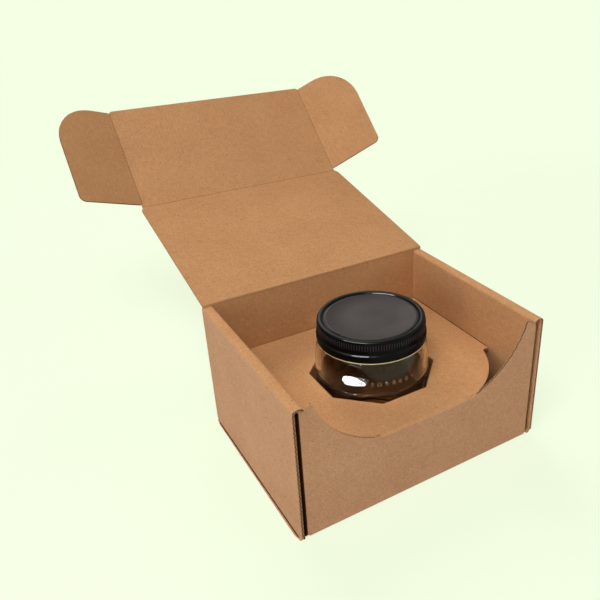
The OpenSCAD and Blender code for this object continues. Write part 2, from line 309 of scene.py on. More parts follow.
def kraftMaterial(name, sizes, sheet):
    material, tree, shader, coords = newMaterial(name)
    facing = axesOf(tree, tree.nodes.new("ShaderNodeTexCoord").outputs["Normal"])
    place = axesOf(tree, coords)
    tones, spread = {}, 0.5
    for layer in ("clouds", "mottle", "grain"):
        *look, weight = sizes[layer]
        tones[layer] = noise(tree, coords, *look)
        change = calc(tree, "MULTIPLY_ADD", tones[layer], weight, -weight / 2)
        spread = calc(tree, "ADD", spread, change)
    stops = zip(sizes["toneStops"], (sizes[tone] for tone in ("shade", "body", "pale")))
    paper = ramp(tree, spread, list(stops))
    for stretch, colour, low, high in sizes["fibres"]:
        stretched = put(tree, "ShaderNodeMapping", {"Vector": coords, "Scale": stretch})
        strand = noise(tree, stretched, 1.0, 1.0, 0.5, 0.35)
        mask = ramp(tree, strand, [(low, (0.0,) * 3), (high, (sizes["fibreCover"],) * 3)])
        paper = tinted(tree, paper, mask, sizes[colour], "MIX")
    paper = tinted(tree, paper, outerFaces(tree, place, facing, sheet), sizes["outerTint"])
    # Painted light: each sheet's board is made lighter or darker for the light it gets
    paper = tinted(tree, paper, 1.0, sizes["sheetLightTint"][sheet])
    # Painted shade darkens the board along the folds
    if sheet == "crease":
        fold = addNode(tree, "ShaderNodeAttribute", attribute_name="fold").outputs["Fac"]
        paper = tinted(tree, paper, fold, sizes["foldShadeTint"])
    if sheet == "tray":
        # Painted shade darkens the deep slots between the layers of the side walls
        near, middle, far = (x * mm for x in sizes["slotX"])
        aside = calc(tree, "ABSOLUTE", place["X"])
        leftHand = calc(tree, "LESS_THAN", place["X"], 0.0)
        limit = calc(tree, "MULTIPLY_ADD", leftHand, far - middle, middle)
        inner = calc(tree, "GREATER_THAN", aside, near)
        deep = calc(tree, "MULTIPLY", inner, calc(tree, "LESS_THAN", aside, limit))
        below = calc(tree, "LESS_THAN", place["Z"], sizes["slotTop"] * mm)
        paper = tinted(tree, paper, calc(tree, "MULTIPLY", deep, below), sizes["slotShadeTint"])
    # The flutes show faintly through the liner, across X, and across Z on the side walls
    sideways = calc(tree, "GREATER_THAN", calc(tree, "ABSOLUTE", facing["X"]), 0.7)
    across = put(tree, "ShaderNodeMix", {"Factor": sideways, 2: place["X"], 3: place["Z"]})
    turns = calc(tree, "MULTIPLY", across, 2 * math.pi / (sizes["flutePitch"] * mm))
    height = calc(tree, "MULTIPLY", tones["grain"], sizes["grainRelief"])
    ribs = calc(tree, "SINE", turns)
    height = calc(tree, "MULTIPLY_ADD", ribs, sizes["fluteRelief"], height)
    height = calc(tree, "MULTIPLY_ADD", tones["mottle"], sizes["mottleRelief"], height)
    bumped(tree, shader, height, *sizes["bump"])
    matt = {"Roughness": sizes["roughness"], "Specular IOR Level": sizes["gloss"]}
    feed(tree, shader, {"Base Color": paper, **matt})
    return material


trayBoard = kraftMaterial("trayBoard", kraft, "tray")
flapBoard = kraftMaterial("flapBoard", kraft, "flap")
creaseShadedBoard = kraftMaterial("creaseShadedBoard", kraft, "crease")
for name in ("tray", "lid_panel", "tuck_flap", "left_ear", "right_ear"):
    mesh = cadNodes[name].data
    mesh.materials.clear()
    mesh.materials.append(trayBoard if name == "tray" else flapBoard)

# Colour of each paper that is cut, or painted in shade, with the shares of its darkest and palest
# flecks
cutEdge = {
    "shadedCore": ((0.12, 0.056, 0.024), 0.6, 1.3),
    "paper": ((0.5, 0.29, 0.155), 0.75, 1.2),
    "slot": ((0.036, 0.011, 0.004), 0.7, 1.3),
    "tabs": ((0.25, 0.12, 0.055), 0.85, 1.15),
    "roughness": 0.9,
    "bump": (0.5, 0.1 * mm),
}


def paperMaterial(name, colour, low, high, roughness=cutEdge["roughness"]):
    material, tree, shader, coords = newMaterial(name)
    fleck = noise(tree, coords, 1900.0, 3.0, 0.6)
    dark, light = (tuple(c * share for c in colour) for share in (low, high))
    tone = ramp(tree, fleck, [(0.25, dark), (0.75, light)])
    bumped(tree, shader, fleck, *cutEdge["bump"])
    matt = {"Roughness": roughness, "Specular IOR Level": kraft["gloss"]}
    feed(tree, shader, {"Base Color": tone, **matt})
    return material


fluteShadow = paperMaterial("fluteShadow", *cutEdge["shadedCore"])
cutPaper = paperMaterial("cutPaper", *cutEdge["paper"])
slotShadow = paperMaterial("slotShadow", *cutEdge["slot"])
shadedBoard = paperMaterial("shadedBoard", *cutEdge["tabs"])
print("Board materials made")


# Geometry node helpers
def newTree(name, sizes):
    tree = bpy.data.node_groups.new(name, "GeometryNodeTree")
    for way in ("INPUT", "OUTPUT"):
        tree.interface.new_socket("Geometry", in_out=way, socket_type="NodeSocketGeometry")
    for label, value in sizes.items():
        kind = "NodeSocketInt" if isinstance(value, int) else "NodeSocketFloat"
        tree.interface.new_socket(label, in_out="INPUT", socket_type=kind)
    return tree, tree.nodes.new("NodeGroupInput").outputs, tree.nodes.new("NodeGroupOutput")


def closeTree(tree, sink, shapes, smooth=True):
    joined = tree.nodes.new("GeometryNodeJoinGeometry")
    for shape in shapes:
        tree.links.new(shape, joined.inputs[0])
    made = put(tree, "GeometryNodeRealizeInstances", {"Geometry": joined.outputs[0]})
    made = put(tree, "GeometryNodeSetShadeSmooth", {"Geometry": made, "Shade Smooth": smooth})
    tree.links.new(made, sink.inputs[0])
    return tree


def painted(tree, shape, material):
    return put(tree, "GeometryNodeSetMaterial", {"Geometry": shape, "Material": material})


def moved(tree, shape, offset):
    return put(tree, "GeometryNodeTransform", {"Geometry": shape, "Translation": offset})


def copies(tree, points, shape, **settings):
    inputs = {"Points": points, "Instance": shape, **settings}
    return put(tree, "GeometryNodeInstanceOnPoints", inputs)


def grow(seed, tree, values):
    modifier = seed.modifiers.new("shape", "NODES")
    modifier.node_group = tree
    inputs = [item for item in tree.interface.items_tree if item.in_out == "INPUT"]
    sockets = {item.name: item.identifier for item in inputs}
    for label, value in values.items():
        modifier[sockets[label]] = value
    graph = bpy.context.evaluated_depsgraph_get()
    made = bpy.data.meshes.new_from_object(
        seed.evaluated_get(graph), preserve_all_data_layers=True, depsgraph=graph
    )
    seed.modifiers.remove(modifier)
    seed.data = made
    return seed


def grownPiece(name, tree, values):
    return grow(linkObject(name, bpy.data.meshes.new(name)), tree, values)


# Cut edges: two liners with the fluted paper between them
flutes = {
    "Board": 1.6 * mm,
    "Paper": 0.2 * mm,
    "Pitch": 3.3 * mm,
    "Step": 0.4 * mm,
    "Proud": 0.03 * mm,
}
displayPaper = 0.26 * mm


def flutedEdgeTree(name, hollowShadeMaterial):
    tree, given, sink = newTree(name, flutes)

    def stored(label, kind):
        return put(tree, "GeometryNodeInputNamedAttribute", {"Name": label}, data_type=kind)

    outward, across = (stored(label, "FLOAT_VECTOR") for label in ("outward", "across"))
    measure = stored("measure", "FLOAT")

    def shift(shape, out, side):
        outPart = vectorCalc(tree, "SCALE", {0: outward, "Scale": out})
        sidePart = vectorCalc(tree, "SCALE", {0: across, "Scale": side})
        total = vectorCalc(tree, "ADD", {0: outPart, 1: sidePart})
        return put(tree, "GeometryNodeSetPosition", {"Geometry": shape, "Offset": total})

    half = calc(tree, "MULTIPLY", given["Board"], 0.5)
    wire = calc(tree, "MULTIPLY", given["Paper"], 0.5)
    linerPlace = calc(tree, "SUBTRACT", half, wire)
    hollow = calc(tree, "SUBTRACT", half, given["Paper"])
    # Painted shade: a dark sheet stands for the shaded hollow between the liners
    low = shift(given["Geometry"], given["Proud"], calc(tree, "MULTIPLY", hollow, -1.0))
    width = vectorCalc(tree, "SCALE", {0: across, "Scale": calc(tree, "MULTIPLY", hollow, 2.0)})
    sheet = {"Mesh": low, "Offset": width, "Offset Scale": 1.0}
    shadedCore = put(tree, "GeometryNodeExtrudeMesh", sheet, mode="EDGES")
    # Wires of paper along the edge
    line = put(tree, "GeometryNodeMeshToCurve", {"Mesh": given["Geometry"]})
    steps = {"Curve": line, "Length": given["Step"]}
    fine = put(tree, "GeometryNodeResampleCurve", steps, mode="LENGTH")
    ring = {"Resolution": 5, "Radius": wire}
    section = put(tree, "GeometryNodeCurvePrimitiveCircle", ring, mode="RADIUS")
    turn = calc(tree, "MULTIPLY", calc(tree, "DIVIDE", measure, given["Pitch"]), 2 * math.pi)
    swing = calc(tree, "MULTIPLY", calc(tree, "SINE", turn), calc(tree, "SUBTRACT", hollow, wire))
    paths = [(fine, swing)]
    paths += [(line, calc(tree, "MULTIPLY", linerPlace, side)) for side in (1.0, -1.0)]
    shapes = [painted(tree, shadedCore, hollowShadeMaterial)]
    for path, side in paths:
        out = calc(tree, "ADD", given["Proud"], calc(tree, "MULTIPLY", wire, 0.4))
        tube = {"Curve": shift(path, out, side), "Profile Curve": section, "Fill Caps": True}
        shapes.append(painted(tree, put(tree, "GeometryNodeCurveToMesh", tube), cutPaper))
    return closeTree(tree, sink, shapes)


def edgeRun(points, side, place, closed=False, faceOn=False):
    # Points lie in the place's first two axes. side says which hand of the path is outside.
    flat = [Vector(p) for p in points]
    count = len(flat)
    run, walked = [], 0.0
    axes = place.to_3x3()
    for i, here in enumerate(flat):
        before = flat[i - 1] if i or closed else here
        after = flat[(i + 1) % count] if i + 1 < count or closed else here
        legs = [leg.normalized() for leg in (here - before, after - here) if leg.length > tiny]
        normals = [Vector((leg.y, -leg.x)) * side for leg in legs]
        mean = sum(normals, Vector((0.0, 0.0))).normalized()
        mean /= max(0.5, mean.dot(normals[0]))
        walked += (here - before).length if i else 0.0
        inPlane = axes @ Vector((mean.x, mean.y, 0.0))
        square = axes @ Vector((0.0, 0.0, 1.0))
        run.append(
            {
                "point": place @ Vector((here.x, here.y, 0.0)),
                "outward": square if faceOn else inPlane,
                "across": inPlane if faceOn else square,
                "measure": walked if faceOn else here.x,
            }
        )
    return run, closed


def edgePiece(name, body, runs, tree, sizes=flutes):
    mesh = bpy.data.meshes.new(name)
    points, pairs = [], []
    for run, closed in runs:
        first = len(points)
        points += run
        pairs += [(i, i + 1) for i in range(first, len(points) - 1)]
        if closed:
            pairs.append((len(points) - 1, first))
    mesh.from_pydata([p["point"] * mm for p in points], pairs, [])
    for label in ("outward", "across"):
        store = mesh.attributes.new(label, "FLOAT_VECTOR", "POINT")
        for slot, p in zip(store.data, points):
            slot.vector = p[label]
    store = mesh.attributes.new("measure", "FLOAT", "POINT")
    for slot, p in zip(store.data, points):
        slot.value = p["measure"] * mm
    piece = grow(linkObject(name, mesh), tree, sizes)
    for label in ("outward", "across", "measure"):
        if label in piece.data.attributes:
            piece.data.attributes.remove(piece.data.attributes[label])
    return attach(piece, body)


def plane(origin, uAxis, vAxis):
    u, v = Vector(uAxis), Vector(vAxis)
    return Matrix.Translation(Vector(origin)) @ Matrix((u, v, u.cross(v))).transposed().to_4x4()


# Where the cut edges start and end, in mm from creases and corners
edgeGaps = {"crease": 1.4, "bend": 0.9, "fall": 0.1, "lidTip": 0.8, "wallMiddle": 40.0}


def displayCurve(topS):
    # Half of the cut between front wall and shelf, from the crease up to its corner
    half, top, radius = box["creaseHalf"], box["displayTopX"], box["displayR"]
    shoulderS = box["shoulderZ"] - box["shelfCreaseZ"]
    chord = Vector((top - half, shoulderS))
    rise = math.sqrt(radius**2 - (chord.length / 2) ** 2) / chord.length
    centre = Vector(((top + half) / 2 - chord.y * rise, shoulderS / 2 + chord.x * rise))
    corner = box["shoulderCornerR"]
    cornerS = topS - corner
    cornerX = centre.x + math.sqrt((radius + corner) ** 2 - (centre.y - cornerS) ** 2)
    meet = math.degrees(math.atan2(cornerS - centre.y, cornerX - centre.x))
    low = math.degrees(math.atan2(-centre.y, half - centre.x))
    curve = arcPoints(centre, radius, low, meet, 30)
    curve += arcPoints((cornerX, cornerS), corner, meet + 180.0, 90.0, 5)[1:]
    return curve


def displayRuns():
    runs = []
    wallY, creaseZ = box["frontWallY"] + box["board"] / 2, box["shelfCreaseZ"]
    wallPlane = plane((0.0, wallY, 0.0), (1, 0, 0), (0, 0, 1))
    shelfPlane = plane((0.0, wallY, creaseZ), (1, 0, 0), (0, 1, 0))
    wallCut = displayCurve(box["shoulderTopZ"] - creaseZ)
    shelfCut = displayCurve(box["shoulderZ"] - creaseZ)
    wallCut, shelfCut = ([p for p in cut if p[1] > edgeGaps["bend"]] for cut in (wallCut, shelfCut))
    fallX = box["shelfX"] - box["shoulderFall"]
    wall = [(x, s + creaseZ) for x, s in wallCut if x < fallX - edgeGaps["fall"]]
    fall = [(fallX, box["shoulderTopZ"]), (box["shelfX"], box["shoulderZ"])]
    shelf = shelfCut + [(box["shelfX"], box["shoulderZ"] - creaseZ)]
    for side in (1, -1):
        edge = wall + fall if side > 0 else wall
        runs.append(edgeRun([(side * x, z) for x, z in edge], -side, wallPlane))
        runs.append(edgeRun([(side * x, s) for x, s in shelf], side, shelfPlane))
    holeR = box["holeFlat"] / math.cos(math.pi / 8)
    holePlane = plane((0.0, box["jarY"], creaseZ), (1, 0, 0), (0, 1, 0))
    runs.append(edgeRun(arcPoints((0, 0), holeR, 22.5, 337.5, 7), -1, holePlane, closed=True))
    return runs


def rollRuns():
    runs = []
    middle = box["rollR"] - box["board"] / 2
    outerX = box["sideX"] - box["board"] / 2
    for side in (1, -1):
        for y, v in ((box["frontY"], -1.0), (box["rearY"], 1.0)):
            end = plane((0.0, y, 0.0), (-v, 0, 0), (0, 0, 1))
            toe = box["footR"] + (box["toeCut"] if v < 0 else 0.0)
            path = [(outerX, toe), (outerX, edgeGaps["wallMiddle"])]
            path += arcPoints((box["sideX"] - box["rollR"], box["rollBendZ"]), middle, 0, 90, 6)
            if v < 0:
                path += arcPoints((box["rollFlatX"], box["rollBendZ"]), middle, 90, 180, 6)
            runs.append(edgeRun([(-v * side * x, z) for x, z in path], side, end, faceOn=True))
    return runs


hingePlace = Matrix.Translation(Vector(box["hinge"]))
lidPlace = hingePlace @ Matrix.Rotation(math.radians(-box["lidOpen"]), 4, "X")
tuckPlace = (
    lidPlace
    @ Matrix.Translation((0.0, -box["lidLength"], 0.0))
    @ Matrix.Rotation(math.radians(box["tuckBend"]), 4, "X")
)


def lidRuns():
    near, far = edgeGaps["crease"], box["lidLength"] - box["lidFlange"]
    path = [(box["lidHalf"], -near), (box["lidHalf"], -far)]
    path += [(box["lidHalf"] - box["lidNarrow"], edgeGaps["lidTip"] - box["lidLength"])]
    return [edgeRun([(s * x, y) for x, y in path], -s, lidPlace) for s in (1, -1)]


def tuckRuns():
    corner = box["tuckHalf"] - box["tuckCornerR"]
    end = box["tuckCornerR"] - box["tuckLength"]
    path = arcPoints((corner, end), box["tuckCornerR"], 0, -90, 6)
    path += arcPoints((-corner, end), box["tuckCornerR"], -90, -180, 6)
    return [edgeRun(path, -1, tuckPlace)]


def earPlace(side):
    bend = box["rightBend"] if side > 0 else box["leftBend"]
    fold = Matrix.Translation((side * box["tuckHalf"], 0.0, 0.0))
    return tuckPlace @ fold @ Matrix.Rotation(math.radians(side * bend), 4, "Y")


def earRuns(side):
    near, far = -box["earNear"], -box["earFar"]
    wide, nearR, farR = box["earWidth"], box["earNearR"], box["earCornerR"]
    path = [(edgeGaps["crease"], near)]
    path += arcPoints((wide - nearR, near - box["earTaper"] - nearR), nearR, 80, 0, 6)
    path += arcPoints((wide - farR, far + farR), farR, 0, -90, 16)
    path += [(edgeGaps["crease"], far)]
    return [edgeRun([(side * x, y) for x, y in path], -side, earPlace(side))]


# Creased paper over each fold, inside and outside
crease = {
    "offset": 0.02,
    "paper": 0.07,
    "reach": 1.2,
    "blendReach": 0.45,
    "step": 0.12,
    "roundSteps": 14,
    "foldShadeWide": 0.62,
    "sharpAngle": 50,
    "lidInset": 0.1,
    "tuckInset": 0.3,
    "earInset": 0.4,
}


def creaseSkin(name, bodies, place, bend, span, sizes):
    # place has the first panel along -u, its liner along +v and the fold's line along w
    half = box["board"] / 2 + sizes["offset"]
    turn = math.radians(bend)
    corner = half * math.tan(turn / 2) if bend > 0 else 0.0
    far = corner + sizes["blendReach"] + sizes["reach"]
    count = int((far - corner) / sizes["step"])
    walk = [(-far + (far - corner) * i / count, None) for i in range(count)]
    if bend > 0:
        walk += [(-corner, None)]
    else:
        walk += [(0.0, turn * i / sizes["roundSteps"]) for i in range(sizes["roundSteps"] + 1)]
    walk += [(corner + (far - corner) * i / count, "far") for i in range(1, count + 1)]

    def section(rise):
        points = []
        for along, kind in walk:
            if kind is None:
                here = Vector((along * (rise / half if along == -corner else 1.0), rise))
            elif kind == "far":
                here = Matrix.Rotation(turn, 2) @ Vector((along, rise))
            else:
                here = Matrix.Rotation(kind, 2) @ Vector((0.0, rise))
            points.append(here)
        return points

    loop = section(half + sizes["paper"]) + section(half)[::-1]
    # Share of painted shade along the fold, 1 at the fold and fading out beyond its round
    shadeAtFold = []
    for along, kind in walk:
        away = 0.0 if kind and kind != "far" else max(0.0, abs(along) - corner)
        shadeAtFold.append(max(0.0, 1.0 - away / sizes["foldShadeWide"]))
    work = bmesh.new()
    shade = work.verts.layers.float.new("fold")
    rows = []
    for w in span:
        rows.append([work.verts.new((place @ Vector((p.x, p.y, w))) * mm) for p in loop])
        for vertex, value in zip(rows[-1], shadeAtFold + shadeAtFold[::-1]):
            vertex[shade] = value
    size = len(loop)
    for i in range(size):
        j = (i + 1) % size
        work.faces.new((rows[0][i], rows[0][j], rows[1][j], rows[1][i])).smooth = True
    for row in rows:
        for i in range(size // 2 - 1):
            work.faces.new((row[i], row[i + 1], row[size - 2 - i], row[size - 1 - i]))
    # The lid's fold is round and gets no painted shade line; the other folds take the board with
    # painted crease shade
    board = flapBoard if "tray" in bodies else creaseShadedBoard
    made = closedPiece(name, work, [board], sizes["sharpAngle"])
    reach = corner + sizes["blendReach"]
    end = Matrix.Rotation(turn, 2) @ Vector((reach, half))
    end = place @ Vector((end.x, end.y, 0.0))
    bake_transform(made)


def creaseBothSides(name, bodies, origin, along, liner, bend, span):
    for side, label in ((1, "Inside"), (-1, "Outside")):
        # The outer skin mirrors the inner one, and its fold's line turns round with it
        place = plane(origin, along, Vector(liner) * side)
        ends = span if side > 0 else [-w for w in span]
        creaseSkin(name + label, bodies, place, bend * side, ends, crease)


def axisOf(matrix, index):
    return matrix.to_3x3().col[index].copy()


lidY, lidZ = axisOf(lidPlace, 1), axisOf(lidPlace, 2)
tuckX, tuckZ = axisOf(tuckPlace, 0), axisOf(tuckPlace, 2)
lidEnd = box["lidHalf"] - crease["lidInset"]
tuckEnd = box["tuckHalf"] - crease["tuckInset"]
lidBend = 90.0 - box["lidOpen"]
for name, bodies, origin, along, liner, bend, end in (
    ("lidCrease", ("tray", "lid"), box["hinge"], (0, 0, 1), (0, -1, 0), lidBend, lidEnd),
    ("tuckCrease", ("lid", "tuck"), tuckPlace.translation, -lidY, -lidZ, box["tuckBend"], tuckEnd),
):
    creaseBothSides(name, bodies, origin, along, liner, bend, (-end, end))
for side, label, body, bend in (
    (-1, "leftEarCrease", "ear_left", box["leftBend"]),
    (1, "rightEarCrease", "ear_right", box["rightBend"]),
):
    corner = tuckPlace @ Vector((side * box["tuckHalf"], 0.0, 0.0))
    inset = crease["earInset"]
    earEnds = (-side * (box["earNear"] + inset), -side * (box["earFar"] - inset))
    creaseBothSides(label, ("tuck", body), corner, tuckX * side, -tuckZ, bend, earEnds)
print("Creases made")

edgeTree = flutedEdgeTree("flutedEdge", fluteShadow)
displayTree = flutedEdgeTree("displayEdge", slotShadow)
edgePiece("displayCutEdges", "tray", displayRuns(), displayTree, {**flutes, "Paper": displayPaper})
edgePiece("rollCutEdges", "tray", rollRuns(), edgeTree)
edgePiece("lidCutEdges", "lid", lidRuns(), edgeTree)
edgePiece("tuckCutEdge", "tuck", tuckRuns(), edgeTree)
edgePiece("leftEarCutEdge", "ear_left", earRuns(-1), edgeTree)
edgePiece("rightEarCutEdge", "ear_right", earRuns(1), edgeTree)

# Painted shade: dark strips along the shelf's sides and at the feet of the side walls stand for the
# shade there
shadeLines = {
    "proud": 0.04,
    "thick": 0.03,
    "shelfTop": 54.2,
    "shelfOut": 0.35,
    "shelfWide": 0.75,
    "shelfRun": (-27.6, 67.0),
    "footX": (93.15, 93.85),
    "footZ": 0.85,
    "footRun": (-66.5, 65.0),
}


def makeShadeLines(sizes):
    work = bmesh.new()
    shelfZ = sizes["shelfTop"] + sizes["proud"]
    outer = box["shelfX"] + sizes["shelfOut"]
    shelfX = (outer, outer - sizes["shelfWide"])
    for side in (-1, 1):
        for ends, z, run in (
            (shelfX, shelfZ, sizes["shelfRun"]),
            (sizes["footX"], sizes["footZ"], sizes["footRun"]),
        ):
            a, b = (side * x for x in ends)
            low = z - sizes["thick"]
            prism(work, [[(a, y, z), (b, y, z), (b, y, low), (a, y, low)] for y in run])
    made = closedPiece("shadeLines", work, [slotShadow])
    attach(made, "tray")


makeShadeLines(shadeLines)

# The floor's creases stand out a little from the feet of the side walls
footLips = {
    "hidden": ((92.2, 0.08), (92.2, 3.0), (93.05, 2.4), (93.1, 0.8)),
    "shown": ((93.9, 0.8), (94.35, 0.66), (94.5, 0.4), (94.3, 0.08)),
    "leftRun": ((-69.2, -0.8), (-63.0, 0.3), (62.0, -0.15), (69.2, -0.9)),
    "rightRun": ((-64.0, -0.8), (-58.0, 0.3), (62.0, -0.15), (69.2, -0.9)),
}


def makeFootLips(sizes):
    work = bmesh.new()
    for side, run in ((-1, sizes["leftRun"]), (1, sizes["rightRun"])):
        sections = []
        for y, out in run:
            profile = list(sizes["hidden"]) + [(x + out, z) for x, z in sizes["shown"]]
            sections.append([(side * x, y, z) for x, z in profile])
        prism(work, sections)
    made = closedPiece("footLips", work, [trayBoard])
    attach(made, "tray")


makeFootLips(footLips)

# Tabs folded down round the hole, which steady the jar
holeTabs = {
    "Inner": 41.15 * mm,
    "Thick": 1.5 * mm,
    "Top": 53.2 * mm,
    "Deep": 24.0 * mm,
    "Wide": 33.2 * mm,
    "Taper": 0.62,
}


def holeTabTree():
    tree, given, sink = newTree("holeTabs", holeTabs)
    ring = put(tree, "GeometryNodeMeshCircle", {"Vertices": 8, "Radius": given["Inner"]})
    size = fromAxes(tree, X=given["Thick"], Y=given["Wide"], Z=given["Deep"])
    grid = {"Size": size, "Vertices X": 2, "Vertices Y": 9, "Vertices Z": 7}
    board = put(tree, "GeometryNodeMeshCube", grid)
    # The free end is narrower than the folded one
    axes = axesOf(tree, tree.nodes.new("GeometryNodeInputPosition").outputs[0])
    down = calc(tree, "SUBTRACT", 0.5, calc(tree, "DIVIDE", axes["Z"], given["Deep"]))
    narrow = calc(tree, "MULTIPLY", calc(tree, "SUBTRACT", given["Taper"], 1.0), down)
    drawn = fromAxes(tree, Y=calc(tree, "MULTIPLY", axes["Y"], narrow))
    board = put(tree, "GeometryNodeSetPosition", {"Geometry": board, "Offset": drawn})
    outX = calc(tree, "MULTIPLY", given["Thick"], 0.5)
    downZ = calc(tree, "MULTIPLY", given["Deep"], -0.5)
    board = moved(tree, board, fromAxes(tree, X=outX, Z=downZ))
    index = tree.nodes.new("GeometryNodeInputIndex").outputs[0]
    facing = fromAxes(tree, Z=calc(tree, "MULTIPLY", index, math.pi / 4))
    row = copies(tree, ring, board, Rotation=facing)
    row = moved(tree, row, fromAxes(tree, Y=box["jarY"] * mm, Z=given["Top"]))
    return closeTree(tree, sink, [painted(tree, row, shadedBoard)], smooth=False)


tabs = grownPiece("holeTabs", holeTabTree(), holeTabs)
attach(tabs, "tray")
print("Fluted edges made")


# Turned pieces
def turned(name, profile, y, segments, materials, pick=None, sharpAngle=40):
    # Profile points are (radius, height) in mm. A point on the axis closes the shape there.
    work = bmesh.new()
    rings = []
    for radius, height in profile:
        count = 1 if radius < tiny else segments
        turns = [2 * math.pi * i / segments for i in range(count)]
        around = [(radius * math.cos(t), y + radius * math.sin(t), height) for t in turns]
        rings.append([work.verts.new([v * mm for v in point]) for point in around])
    loops = list(zip(rings, rings[1:]))
    if profile[0][0] > tiny:
        loops.append((rings[-1], rings[0]))
    for index, (low, high) in enumerate(loops):
        for i in range(segments):
            j = (i + 1) % segments
            corners = ((low, i), (low, j), (high, j), (high, i))
            unique = list(dict.fromkeys(ring[k % len(ring)] for ring, k in corners))
            if len(unique) > 2:
                face = work.faces.new(unique)
                face.smooth = True
                face.material_index = pick(index) if pick else 0
    return closedPiece(name, work, materials, sharpAngle)


# Glass jar
jar = {
    "radius": 39.5,
    "wall": 3.0,
    "footZ": 1.6,
    "pushUp": 1.6,
    "pushFlat": 8.0,
    "footFlat": 2.0,
    "heel": 6.0,
    "base": 5.0,
    "baseMiddle": 12.0,
    "shoulderLow": 65.5,
    "bandZ": 57.4,
    "bandHigh": 1.1,
    "bandProud": 0.5,
    "shoulderHigh": 80.1,
    "neck": 34.9,
    "mouth": 3.6,
    "top": 93.9,
    "colour": (0.78, 0.73, 0.67, 1.0),
    "shine": (0.36, 0.36, 0.36, 1.0),
    "roughness": 0.015,
    "index": 1.45,
    "rippleScale": 55.0,
    "ripple": (0.12, 0.4 * mm),
    "segments": 192,
}

# A low moulded facet on the jar's side, in mm and degrees round the jar
facet = {
    "turn": 221.0,
    "halfTurn": 13.5,
    "middle": 67.4,
    "halfHigh": 4.3,
    "low": 63.9,
    "lowSoft": (-0.3, 0.2),
    "ragged": (1.6, 0.8),
    "raggedScale": 900.0,
    "rimSoft": 0.86,
    "slope": 1.05,
}


def facetNormal(tree, coords, sizes):
    place = axesOf(tree, coords)
    deep = calc(tree, "SUBTRACT", box["jarY"] * mm, place["Y"])
    turn = calc(tree, "ARCTAN2", deep, calc(tree, "MULTIPLY", place["X"], -1.0))
    turn = calc(tree, "SUBTRACT", calc(tree, "DEGREES", turn), sizes["turn"] - 180.0)
    aside = calc(tree, "DIVIDE", turn, sizes["halfTurn"])
    above = calc(tree, "SUBTRACT", place["Z"], sizes["middle"] * mm)
    above = calc(tree, "DIVIDE", above, sizes["halfHigh"] * mm)
    away = calc(tree, "MULTIPLY_ADD", aside, aside, calc(tree, "MULTIPLY", above, above))
    # The lower edge is ragged towards one end
    ragged = calc(tree, "MULTIPLY_ADD", aside, *(v * mm for v in sizes["ragged"]))
    ragged = calc(tree, "MAXIMUM", ragged, 0.0)
    ragged = calc(tree, "MULTIPLY", noise(tree, coords, sizes["raggedScale"], 1.0), ragged)
    level = calc(tree, "SUBTRACT", place["Z"], ragged)
    low, high = ((sizes["low"] + v) * mm for v in sizes["lowSoft"])
    mask = softStep(tree, away, 1.0, sizes["rimSoft"])
    mask = calc(tree, "MULTIPLY", mask, softStep(tree, level, low, high))
    lift = fromAxes(tree, Z=calc(tree, "MULTIPLY", mask, sizes["slope"]))
    upright = tree.nodes.new("ShaderNodeNewGeometry").outputs["Normal"]
    total = vectorCalc(tree, "ADD", {0: upright, 1: lift})
    return vectorCalc(tree, "NORMALIZE", {0: total})


def glassMaterial(name, sizes, shaped):
    material, tree, shader, coords = newMaterial(name)
    waves = noise(tree, coords, sizes["rippleScale"], 2.0)
    bump = bumped(tree, shader, waves, *sizes["ripple"])
    if shaped:
        tree.links.new(facetNormal(tree, coords, facet), bump.inputs["Normal"])
        shader.inputs["Specular Tint"].default_value = sizes["shine"]
    glass = {"Base Color": sizes["colour"], "Roughness": sizes["roughness"]}
    feed(tree, shader, {**glass, "IOR": sizes["index"], "Transmission Weight": 1.0})
    return material


clearGlass = glassMaterial("clearGlass", jar, True)
plainGlass = glassMaterial("plainGlass", jar, False)


def makeJar(sizes):
    radius, neck, heel = sizes["radius"], sizes["neck"], sizes["heel"]
    low, high, top = sizes["shoulderLow"], sizes["shoulderHigh"], sizes["top"]
    inner, mouthR = radius - sizes["wall"], neck - sizes["mouth"]
    pushR = radius - heel - sizes["footFlat"]
    lip = sizes["mouth"] / 2
    footZ, rise = sizes["footZ"], sizes["footZ"] + sizes["pushUp"]
    band = ((radius, sizes["bandZ"]), sizes["bandProud"], sizes["bandHigh"])
    bottom = footZ + sizes["base"]
    profile = [(0.0, rise), (pushR - sizes["pushFlat"], rise)]
    profile += [(pushR - sizes["pushUp"], rise), (pushR, footZ)]
    profile += arcPoints((radius - heel, footZ + heel), heel, -90, 0, 10)
    profile += ellipsePoints(*band, -90, 90, 8)
    profile += ellipsePoints((neck, low), radius - neck, high - low, 0, 90, 20)
    profile += arcPoints((neck - lip, top - lip), lip, 0, 180, 14)
    profile += ellipsePoints((mouthR, low), inner - mouthR, high - low, 90, 0, 20)
    profile += arcPoints((inner - heel, bottom + heel), heel, 0, -90, 10)
    profile += [(sizes["baseMiddle"], bottom), (0.0, bottom)]
    made = turned("glassJar", profile, box["jarY"], sizes["segments"], [clearGlass])
    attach(made, "tray")
    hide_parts("jar_glass")


makeJar(jar)

beadRow = {
    "Count": 7,
    "Start": 238.5,
    "Sweep": 42.0,
    "Radius": 39.05 * mm,
    "Height": 66.0 * mm,
    "Bead": 1.15 * mm,
    "Tall": 1.35,
}


